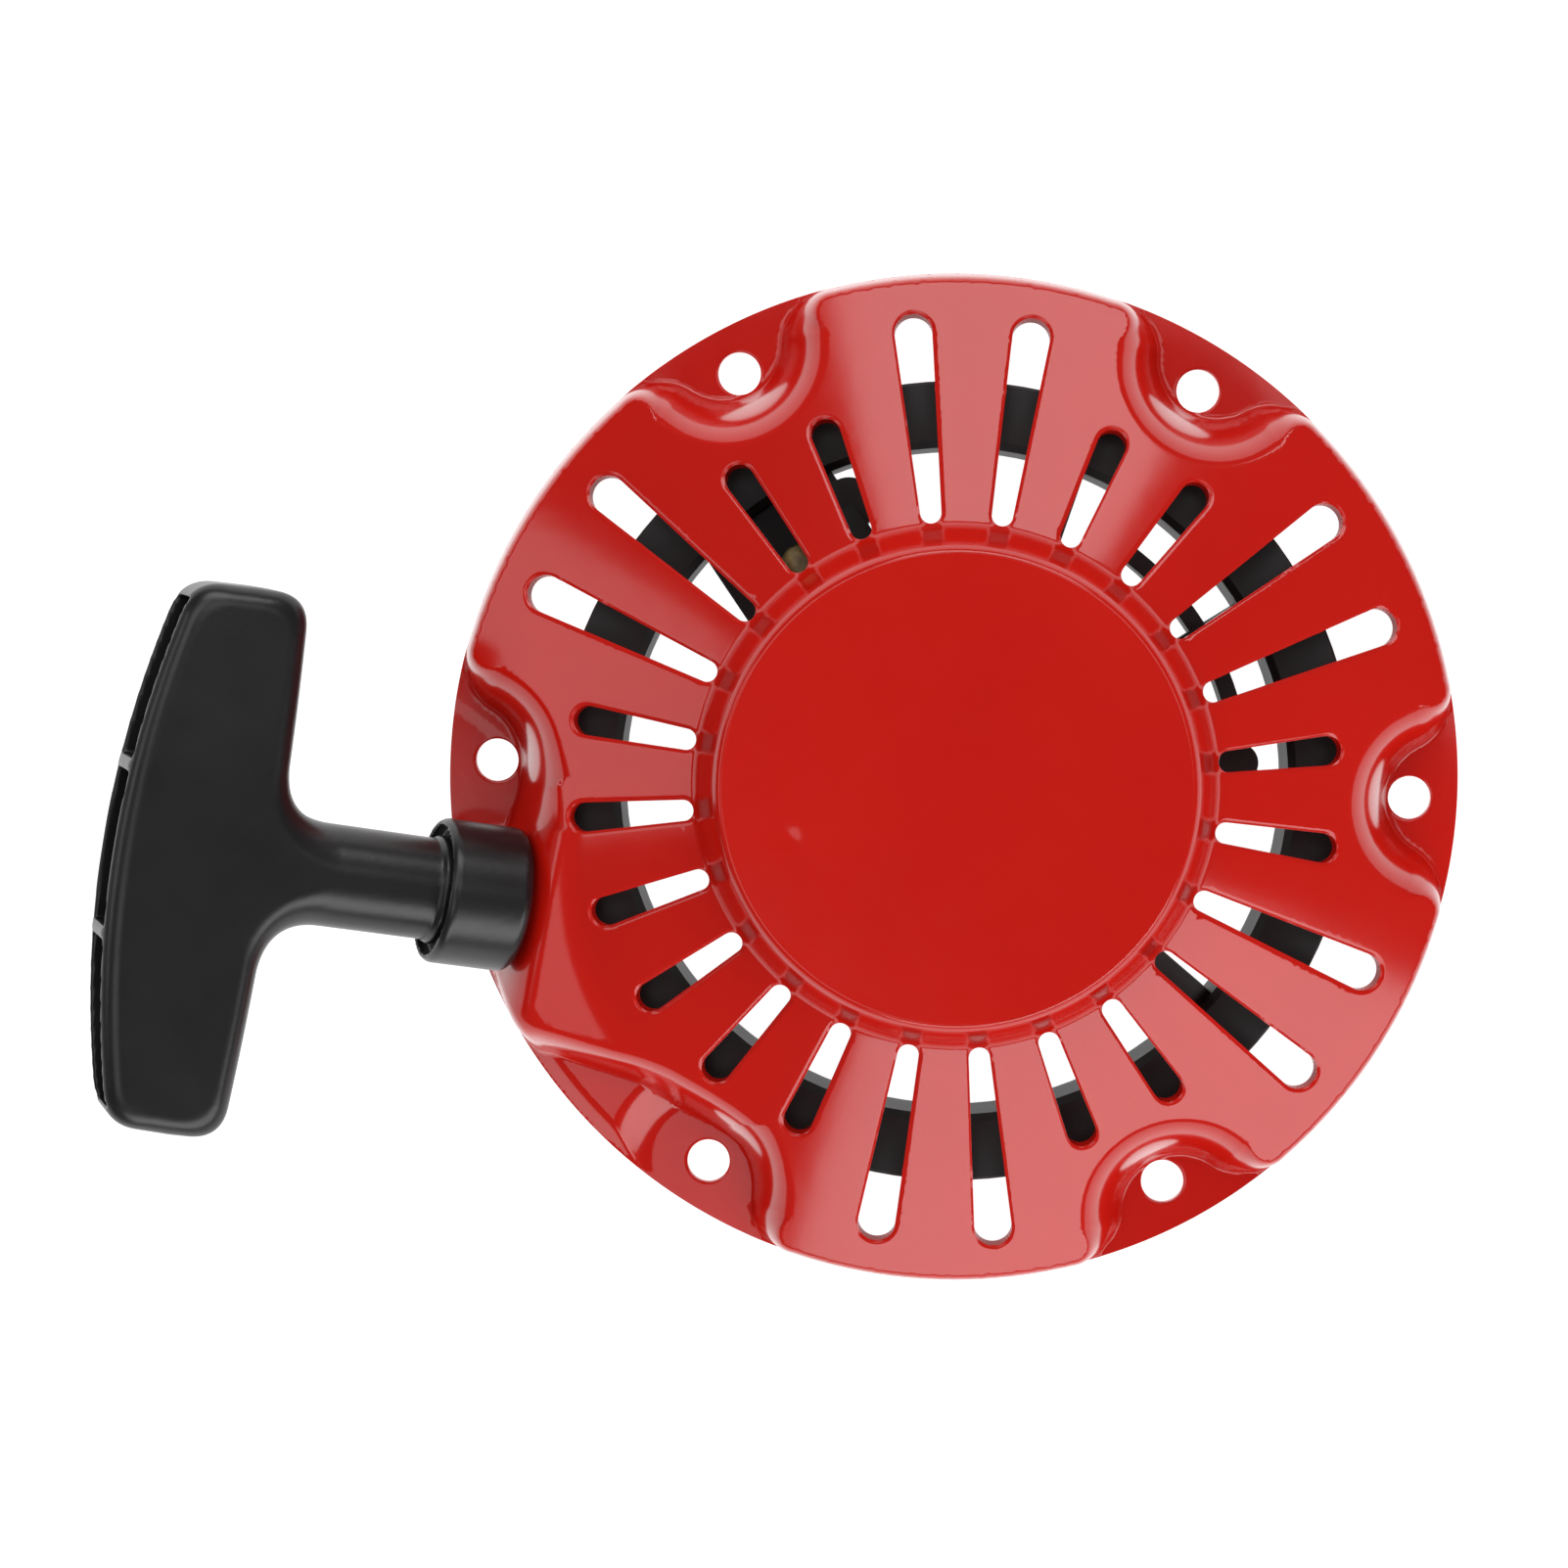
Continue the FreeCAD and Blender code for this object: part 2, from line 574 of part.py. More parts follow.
def symmetric(f):
    if hasattr(f, "SideType"):
        f.SideType = "Symmetric"
    else:
        f.Midplane = True
    return f


grip = new_body("grip")
stub = nr + 0.4
bar = rounded([(stub, bs - 9.0, 0), (stub, bs - 0.4, 6.0), (half, bs + 1.5, 5.0), (half - 0.8, bs + bd - 5.2, 4.6),
               (0, bs + bd + 0.8, 290), (0.8 - half, bs + bd - 5.2, 4.6), (-half, bs + 1.5, 5.0), (-stub, bs - 0.4, 6.0),
               (-stub, bs - 9.0, 0)])
block = symmetric(feature(grip, "Pad", sketch(grip, "YZ_Plane", bar), Length=bt))
doc.recompute()
rims = [f"Edge{i + 1}" for i, e in enumerate(block.Shape.Edges)
        if e.BoundBox.XLength < 1e-4 and e.BoundBox.ZMax > bs - 8]
soft = grip.newObject("PartDesign::Fillet", "grip_edges")
soft.Base = (block, rims)
soft.Radius = 2.4
grip.Tip = soft
revolve(grip, rounded([(2.2, 3.0, 0), (7.2, 3.0, 0.4), (7.2, 0.3, 0), (cr, 0.3, 1.8), (cr, cl, 2.0), (nr + 1.6, cl, 0.6),
                       (nr, cl + 1.4, 0.6), (nr, bs + 3.0, 0), (2.2, bs + 3.0, 0)]))
rib = 13.5
for left, right in ((4.6 - half, -rib - 1.1), (1.1 - rib, rib - 1.1), (rib + 1.1, half - 4.6)):
    bays = rounded([(left, bs + 4.0, 1.5), (right, bs + 4.0, 1.5), (right, bs + 40, 0), (left, bs + 40, 0)])
    symmetric(feature(grip, "Pocket", sketch(grip, "YZ_Plane", bays), Length=bt - 2 * bw))
pocket_up(grip, ring(2.2), bs - 10, bs + 5)
grip.Placement = PULL_FRAME
keep("grip", grip)

disc = new_body("knot_washer")
pad(disc, ring(4.9, 2.2), bs + 4.0, bs + 5.1)
disc.Placement = PULL_FRAME
keep("knot_washer", disc)

# ---------------------------------------------------------------- check and write
doc.recompute()
for obj in doc.Objects:
    if set(obj.State) & {"Invalid", "Error"}:
        raise RuntimeError(f"{obj.Label}: {obj.State} {obj.getStatusString()}")
for name, obj in made.items():
    shape = obj.Shape
    if shape.isNull() or not shape.isValid() or len(shape.Solids) != 1:
        raise RuntimeError(f"{name}: bad shape, {len(shape.Solids)} solids")
    shape.exportStep(f"parts/{name}.step")
    print(name, round(shape.Volume), [round(v, 1) for v in (shape.BoundBox.ZMin, shape.BoundBox.ZMax)])
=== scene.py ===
"""Looks of the recoil starter: paint, plastic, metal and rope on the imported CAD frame.

The scene is in metres; shapes are worked out in millimetres and scaled by MM.
"""
import math

import bpy
import numpy as np
from mathutils import Euler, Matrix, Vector
from mathutils.geometry import delaunay_2d_cdt


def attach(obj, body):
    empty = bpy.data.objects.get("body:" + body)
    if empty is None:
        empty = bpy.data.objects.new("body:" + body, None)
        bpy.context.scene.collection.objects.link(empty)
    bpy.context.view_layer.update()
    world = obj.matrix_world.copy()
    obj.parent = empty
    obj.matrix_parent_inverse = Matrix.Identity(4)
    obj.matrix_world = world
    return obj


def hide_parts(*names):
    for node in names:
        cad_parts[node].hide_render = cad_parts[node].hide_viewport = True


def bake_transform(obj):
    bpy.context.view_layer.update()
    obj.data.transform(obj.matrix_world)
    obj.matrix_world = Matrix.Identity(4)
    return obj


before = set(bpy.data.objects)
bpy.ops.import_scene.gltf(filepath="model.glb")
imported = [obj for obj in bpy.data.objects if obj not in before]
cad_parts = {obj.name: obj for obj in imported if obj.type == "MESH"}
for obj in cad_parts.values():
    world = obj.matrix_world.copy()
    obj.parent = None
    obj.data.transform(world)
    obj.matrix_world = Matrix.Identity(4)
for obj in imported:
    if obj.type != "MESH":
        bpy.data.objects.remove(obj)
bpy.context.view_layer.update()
MM = 0.001


# ---------------------------------------------------------------- small maths
def smin(a, b, k):
    h = np.clip(0.5 + 0.5 * (b - a) / k, 0.0, 1.0)
    return b * (1 - h) + a * h - k * h * (1 - h)


def smax(a, b, k):
    return -smin(-a, -b, k)


def smooth(a, b, x):
    t = np.clip((x - a) / (b - a), 0.0, 1.0)
    return t * t * (3 - 2 * t)


def unit(v):
    v = np.asarray(v, float)
    return v / np.linalg.norm(v)


def make_object(name, verts, faces, normals, body, replaces, material, uv=None):
    """Mesh object from millimetre points, smooth shaded, riding on a body if one is named."""
    mesh = bpy.data.meshes.new(name)
    mesh.from_pydata((np.asarray(verts) * MM).tolist(), [], [list(map(int, f)) for f in faces])
    mesh.validate()
    mesh.polygons.foreach_set("use_smooth", [True] * len(mesh.polygons))
    if uv is not None:
        layer = mesh.uv_layers.new(name="UVMap")
        loops = np.zeros(len(mesh.loops), np.int32)
        mesh.loops.foreach_get("vertex_index", loops)
        layer.data.foreach_set("uv", np.asarray(uv, np.float32)[loops].ravel())
    mesh.normals_split_custom_set_from_vertices(np.asarray(normals).tolist())
    obj = bpy.data.objects.new(name, mesh)
    bpy.context.scene.collection.objects.link(obj)
    mesh.materials.append(material)
    if body:
        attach(obj, body)
    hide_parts(*replaces)
    return obj


# ---------------------------------------------------------------- materials
def new_material(name, color, rough, metallic=0.0, **sockets):
    mat = bpy.data.materials.new(name)
    mat.use_nodes = True
    nodes = mat.node_tree.nodes
    shader = nodes["Principled BSDF"]
    shader.inputs["Base Color"].default_value = (*color, 1)
    shader.inputs["Roughness"].default_value = rough
    shader.inputs["Metallic"].default_value = metallic
    for key, value in sockets.items():
        shader.inputs[key.replace("_", " ")].default_value = value
    return mat, nodes, mat.node_tree.links, shader


def noise(nodes, links, scale, detail, rough=0.5):
    tex = nodes.new("ShaderNodeTexCoord")
    n = nodes.new("ShaderNodeTexNoise")
    n.inputs["Scale"].default_value = scale
    n.inputs["Detail"].default_value = detail
    n.inputs["Roughness"].default_value = rough
    links.new(tex.outputs["Object"], n.inputs["Vector"])
    return n.outputs["Fac"]


def ramp(nodes, links, fac, stops):
    """Colour ramp between two (position, colour) stops."""
    r = nodes.new("ShaderNodeValToRGB")
    for element, (position, color) in zip(r.color_ramp.elements, stops):
        element.position, element.color = position, (*color, 1)
    links.new(fac, r.inputs["Fac"])
    return r.outputs["Color"]


def map_range(nodes, links, value, low, high):
    m = nodes.new("ShaderNodeMapRange")
    m.inputs["To Min"].default_value, m.inputs["To Max"].default_value = low, high
    links.new(value, m.inputs["Value"])
    return m.outputs["Result"]


def bump(nodes, links, shader, height, strength, distance):
    b = nodes.new("ShaderNodeBump")
    b.inputs["Strength"].default_value = strength
    b.inputs["Distance"].default_value = distance
    links.new(height, b.inputs["Height"])
    links.new(b.outputs["Normal"], shader.inputs["Normal"])


def paint():
    mat, nodes, links, shader = new_material("red_gloss_paint", (0.61, 0.0088, 0.0036), 0.14,
                                             Specular_IOR_Level=0.5)
    cloud = noise(nodes, links, 35, 4)
    stops = [(0.3, (0.59, 0.008, 0.0033)), (0.7, (0.63, 0.0096, 0.0039))]
    links.new(ramp(nodes, links, cloud, stops), shader.inputs["Base Color"])
    links.new(map_range(nodes, links, noise(nodes, links, 180, 2), 0.10, 0.17), shader.inputs["Roughness"])
    bump(nodes, links, shader, noise(nodes, links, 420, 2), 0.05, 0.0002)
    return mat


def plastic(name, color, low, high, grain=900, strength=0.12):
    mat, nodes, links, shader = new_material(name, color, 0.4)
    cloud = noise(nodes, links, 60, 4)
    dark = tuple(c * 0.75 for c in color)
    light = tuple(c * 1.25 for c in color)
    links.new(ramp(nodes, links, cloud, [(0.3, dark), (0.7, light)]), shader.inputs["Base Color"])
    links.new(map_range(nodes, links, noise(nodes, links, 140, 3), low, high), shader.inputs["Roughness"])
    bump(nodes, links, shader, noise(nodes, links, grain, 3), strength, 0.0002)
    return mat


def metal(name, dark, light, low, high, scale=120):
    mat, nodes, links, shader = new_material(name, light, 0.3, 1.0)
    cloud = noise(nodes, links, scale, 5, 0.6)
    links.new(ramp(nodes, links, cloud, [(0.3, dark), (0.72, light)]), shader.inputs["Base Color"])
    links.new(map_range(nodes, links, noise(nodes, links, scale * 2, 3), low, high),
              shader.inputs["Roughness"])
    bump(nodes, links, shader, noise(nodes, links, scale * 6, 3), 0.08, 0.0001)
    return mat


def braid(name, dark, light):
    """Braided cord: crossing strands from the tube's own UV (turns round, millimetres along), with painted
    shade in the grooves between strands.
    """
    mat, nodes, links, shader = new_material(name, light, 0.62)
    tex = nodes.new("ShaderNodeTexCoord")
    heights = []
    for lean in (1.0, -1.0):
        mapping = nodes.new("ShaderNodeMapping")
        mapping.inputs["Scale"].default_value = (4.0 * lean, 0.55, 1)
        links.new(tex.outputs["UV"], mapping.inputs["Vector"])
        split = nodes.new("ShaderNodeSeparateXYZ")
        links.new(mapping.outputs["Vector"], split.inputs["Vector"])
        add = nodes.new("ShaderNodeMath")
        links.new(split.outputs["X"], add.inputs[0])
        links.new(split.outputs["Y"], add.inputs[1])
        wave = nodes.new("ShaderNodeMath")
        wave.operation = "SINE"
        turn = nodes.new("ShaderNodeMath")
        turn.operation = "MULTIPLY"
        turn.inputs[1].default_value = 2 * math.pi
        links.new(add.outputs[0], turn.inputs[0])
        links.new(turn.outputs[0], wave.inputs[0])
        heights.append(wave.outputs[0])
    both = nodes.new("ShaderNodeMath")
    both.operation = "MAXIMUM"
    links.new(heights[0], both.inputs[0])
    links.new(heights[1], both.inputs[1])
    level = map_range(nodes, links, both.outputs[0], 0.0, 1.0)
    # Painted shade: the base colour follows strand height, so the grooves between strands are darker than the
    # strand tops.
    links.new(ramp(nodes, links, level, [(0.35, dark), (0.95, light)]), shader.inputs["Base Color"])
    bump(nodes, links, shader, level, 0.6, 0.0003)
    return mat


PAINT = paint()
GRIP_PLASTIC = plastic("grip_plastic", (0.0095, 0.0095, 0.0105), 0.27, 0.36)
REEL_PLASTIC = plastic("reel_plastic", (0.007, 0.007, 0.008), 0.5, 0.62, grain=700)
ZINC = metal("bright_zinc", (0.36, 0.37, 0.40), (0.62, 0.63, 0.66), 0.22, 0.38)
YELLOW = metal("yellow_zinc", (0.34, 0.25, 0.08), (0.62, 0.50, 0.20), 0.25, 0.42, scale=200)
STEEL = metal("hardened_steel", (0.20, 0.20, 0.21), (0.42, 0.42, 0.44), 0.25, 0.40)
BLUED = metal("spring_steel", (0.06, 0.065, 0.08), (0.20, 0.21, 0.24), 0.25, 0.38)
BRONZE = metal("sintered_bronze", (0.30, 0.17, 0.07), (0.55, 0.35, 0.17), 0.35, 0.5, scale=400)
ROPE = braid("braided_nylon", (0.004, 0.004, 0.005), (0.05, 0.05, 0.055))
KNOT = metal("sealed_nylon", (0.05, 0.035, 0.012), (0.26, 0.19, 0.07), 0.45, 0.7, scale=500)
KNOT.node_tree.nodes["Principled BSDF"].inputs["Metallic"].default_value = 0.0

# ---------------------------------------------------------------- the cover
SHEET = 1.4
DISC_Z, DISC_R, DISC_FALL = 46.0, 38.0, 3.6      # raised disc: top, edge, steepness of its side
HOLE_CIRCLE, HOLE_R = 77, 3.6                    # bolt holes
CONE_Z, CONE_R, SLOPE = 17.0, 76.9, 16.5 / 34.9
RIM = 85.0
NOTCH_X, NOTCH_R, FLARE_R = 83.0, 10.4, 9.5
FLARE_TURN = math.acos((NOTCH_X ** 2 + (RIM - FLARE_R) ** 2 - (NOTCH_R + FLARE_R) ** 2)
                       / (2 * NOTCH_X * (RIM - FLARE_R)))
FLARE = np.array([math.cos(FLARE_TURN), math.sin(FLARE_TURN)]) * (RIM - FLARE_R)
PULL_TURN, FRONT_TURN = math.radians(172.6), math.radians(174.4)
PULL_PLAN = np.array([math.cos(PULL_TURN), math.sin(PULL_TURN)])
PULL_SIDE = np.array([-PULL_PLAN[1], PULL_PLAN[0]])
TILT = math.radians(22.0)
FRONT = np.array([math.cos(FRONT_TURN), math.sin(FRONT_TURN)])
FRONT_FOOT, SIDE_FOOT = 73.6, 4.7                # where the two outlet walls meet the floor
SIDE_OUT = unit([-0.2536, -0.968])
SIDE_TOP = np.array([-68.6, -44.3])
# outlet facet: a flat three-cornered face beside the rope outlet
FACET = np.linalg.solve(np.array([[-61.6, -23.1, 1], [-51.9, -45.1, 1], [-66.6, -42.0, 1]]),
                        np.array([CONE_Z + (CONE_R - 65.8) * SLOPE, CONE_Z + (CONE_R - 68.8) * SLOPE, 19.6]))


def wall_field(x, y):
    """(height of the side wall, rounding of its top edge) for the rim and the six bolt pockets."""
    r = np.hypot(x, y)
    turn = np.degrees(np.arctan2(y, x))
    phi = np.abs((turn + 30.0) % 60.0 - 30.0)
    qx, qy = r * np.cos(np.radians(phi)), r * np.sin(np.radians(phi))
    d_rim = RIM - r
    d_notch = np.hypot(qx - NOTCH_X, qy) - NOTCH_R
    d_flare = FLARE_R - np.hypot(qx - FLARE[0], qy - FLARE[1])
    side = (FLARE[0] - NOTCH_X) * qy - FLARE[1] * (qx - NOTCH_X)
    in_rim = phi >= math.degrees(FLARE_TURN)
    in_flare = ~in_rim & (side < 0)
    start = math.degrees(math.atan2(-FLARE[1], NOTCH_X - FLARE[0]))
    about = np.degrees(np.arctan2(qy - FLARE[1], qx - FLARE[0]))
    w = np.where(in_rim, 1.0, np.where(in_flare, smooth(start, math.degrees(FLARE_TURN), about), 0.0))
    d = np.where(in_rim, d_rim, np.where(in_flare, d_flare, d_notch))
    slope = 3.9 + (11.4 - 3.9) * w ** 2
    outlet = smooth(178, 182, turn % 360) * (1 - smooth(238, 242, turn % 360))
    base = SHEET * np.maximum(1 - smooth(11.5, 14.5, phi), outlet)
    base = np.where(r < 78, SHEET, base)
    return base + smax(slope * d, 0 * d, 4.5 - 3.7 * w), base, 13.5 + 4.5 * w


def outlet_field(x, y, r, turn):
    """Height of the two walls in front of the rope outlet, and of the raised ledge at their foot."""
    along = x * FRONT[0] + y * FRONT[1]
    front = (FRONT_FOOT - along + np.maximum(y + 12.0, 0.0) ** 2 * 0.04) / math.tan(TILT)
    out = (SIDE_TOP[0] - x) * SIDE_OUT[0] + (SIDE_TOP[1] - y) * SIDE_OUT[1] + SIDE_FOOT
    past = np.maximum((x + 32.5) * 0.776 - (y + 60.3) * 0.630, 0.0)
    bend = (x + 32.5) * 0.630 + (y + 60.3) * 0.776 + SIDE_FOOT + past ** 2 * 0.08
    out = smax(out, bend, 3.5) * 3.7
    near = (x < -14) & (y < 25) & (along > 10)
    wall = np.where(near, SHEET + smin(front, out, 11.0), 200.0)
    sector = smooth(186, 196, turn) * (1 - smooth(236, 240, turn))
    ledge = 3.6 * smooth(9.5, 18.0, np.hypot(x + 38.5, y + 66.7)) * smooth(9.0, 16.0, np.hypot(x + 77, y))
    ledge = smin(ledge * sector, 1.1 * np.maximum(RIM - r, 0), 1.0)
    return wall, np.maximum(ledge, 0)


def cover_height(x, y):
    r = np.hypot(x, y)
    turn = np.degrees(np.arctan2(y, x)) % 360
    cone = CONE_Z + (CONE_R - np.maximum(r, 34.0)) * SLOPE
    facet = FACET[0] * x + FACET[1] * y + FACET[2]
    facet = np.where((x < -45) & (y < -10) & (y > -60), facet, -50.0)
    cone = smax(cone, facet, 0.9)
    top = smin(np.full_like(r, DISC_Z), DISC_Z + (DISC_R - r) * DISC_FALL, 4.6)
    z = smax(cone, top, 3.0)
    wall, base, k = wall_field(x, y)
    front, ledge = outlet_field(x, y, r, turn)
    z = smin(z, smin(wall, front, 20.0), np.where(front < wall, 8.0, k))
    return smax(z, base + ledge, 0.8 + 1.6 * smooth(184, 192, turn) * (1 - smooth(234, 240, turn)))


INNER_END, INNER_R = 43.7, 1.7
SLOTS = []
for hole in range(0, 360, 60):
    for off in (-22.5, -7.5, 7.5, 22.5):
        angle = (hole + off) % 360
        long = abs(off) > 20 and angle not in (202.5, 217.5)
        SLOTS.append((angle, 73.8, 3.1) if long else (angle, 60.4, 2.4))


def slot_distance(x, y):
    """Distance to the nearest vent slot's edge, negative inside it."""
    best = np.full_like(x, 1e3)
    for angle, end, end_r in SLOTS:
        c, s = math.cos(math.radians(angle)), math.sin(math.radians(angle))
        u = x * c + y * s - INNER_END
        v = np.abs(-x * s + y * c)
        h = end - INNER_END
        b = (INNER_R - end_r) / h
        a = math.sqrt(1 - b * b)
        k = -b * v + a * u
        d = np.where(k < 0, np.hypot(u, v) - INNER_R,
                     np.where(k > a * h, np.hypot(u - h, v) - end_r, a * v + b * u - INNER_R))
        best = np.minimum(best, d)
    return best


def hole_distance(x, y):
    best = np.full_like(x, 1e3)
    for k in range(6):
        a = math.radians(60 * k)
        best = np.minimum(best, np.hypot(x - HOLE_CIRCLE * math.cos(a), y - HOLE_CIRCLE * math.sin(a)) - HOLE_R)
    return best


LIP, LIP_DROP = 0.8, 0.34
DIMPLE = -25.6, -8.6


def skin(x, y):
    """Outer surface with the slot and hole edges rolled slightly in, and one shallow weld dimple."""
    d = np.minimum(slot_distance(x, y), hole_distance(x, y) + 0.35)
    roll = LIP_DROP * (np.clip(LIP - d, 0, LIP) / LIP) ** 2
    dimple = 0.16 * np.exp(-((x - DIMPLE[0]) ** 2 + (y - DIMPLE[1]) ** 2) / 1.6)
    return cover_height(x, y) - roll - dimple


def gradient_normal(fun, x, y, eps=0.012):
    gx = (fun(x + eps, y) - fun(x - eps, y)) / (2 * eps)
    gy = (fun(x, y + eps) - fun(x, y - eps)) / (2 * eps)
    n = np.stack([-gx, -gy, np.ones_like(gx)], 1)
    return n / np.linalg.norm(n, axis=1, keepdims=True)


def ring_points(radius, count, phase=0.0):
    a = (np.arange(count) + phase) * 2 * math.pi / count
    return np.stack([radius * np.cos(a), radius * np.sin(a)], 1)


def outline_rows():
    """Rows of points that follow the rim and pocket walls, so that the steep parts are finely divided."""
    rows = []
    half = math.degrees(FLARE_TURN)
    touch = math.atan2(FLARE[1], FLARE[0] - NOTCH_X)
    for off in (0.0, 0.12, 0.3, 0.55, 0.85, 1.2, 1.6, 2.05, 2.55, 3.1, 3.7, 4.4, 5.2, 6.1, 7.1):
        arc = []
        n = np.linspace(touch, 2 * math.pi - touch, 56)
        arc.append(np.stack([NOTCH_X + (NOTCH_R + off) * np.cos(n), (NOTCH_R + off) * np.sin(n)], 1))
        if off < FLARE_R - 0.5:
            f = np.linspace(touch - math.pi, FLARE_TURN, 34)
            one = FLARE + (FLARE_R - off) * np.stack([np.cos(f), np.sin(f)], 1)
            arc += [one, one * [1, -1]]
        if off > 0:
            t = np.radians(np.arange(half + 0.4, 60 - half, 0.8))
            arc.append(np.stack([(RIM - off) * np.cos(t), (RIM - off) * np.sin(t)], 1))
        arc = np.concatenate(arc)
        for k in range(6):
            c, s = math.cos(k * math.pi / 3), math.sin(k * math.pi / 3)
            rows.append(arc @ np.array([[c, s], [-s, c]]))
    for off in np.arange(-0.4, 9.5, 0.55):
        v = np.arange(-4, 62, 0.7)
        rows.append((FRONT_FOOT - off) * FRONT + v[:, None] * np.array([-FRONT[1], FRONT[0]]))
        along = np.arange(-12, 46, 0.7)
        line = np.array([SIDE_OUT[1] * -1, SIDE_OUT[0]])
        rows.append(SIDE_TOP + (SIDE_FOOT - off * 0.8) * SIDE_OUT + along[:, None] * line)
    return np.concatenate(rows)


def slot_ring(angle, end, end_r, grow):
    """Points round one slot, grow millimetres outside its edge."""
    lean = math.asin((INNER_R - end_r) / (end - INNER_END))
    out = np.linspace(-(math.pi / 2 - lean), math.pi / 2 - lean, 17)
    back = np.linspace(math.pi / 2 - lean, 1.5 * math.pi + lean, 13)
    a = np.stack([end + (end_r + grow) * np.cos(out), (end_r + grow) * np.sin(out)], 1)
    b = np.stack([INNER_END + (INNER_R + grow) * np.cos(back), (INNER_R + grow) * np.sin(back)], 1)
    side = np.linspace(0, 1, 18)[1:-1, None]
    up = a[-1] + (b[0] - a[-1]) * side
    down = b[-1] + (a[0] - b[-1]) * side
    pts = np.concatenate([a, up, b, down])
    c, s = math.cos(math.radians(angle)), math.sin(math.radians(angle))
    return pts @ np.array([[c, s], [-s, c]])


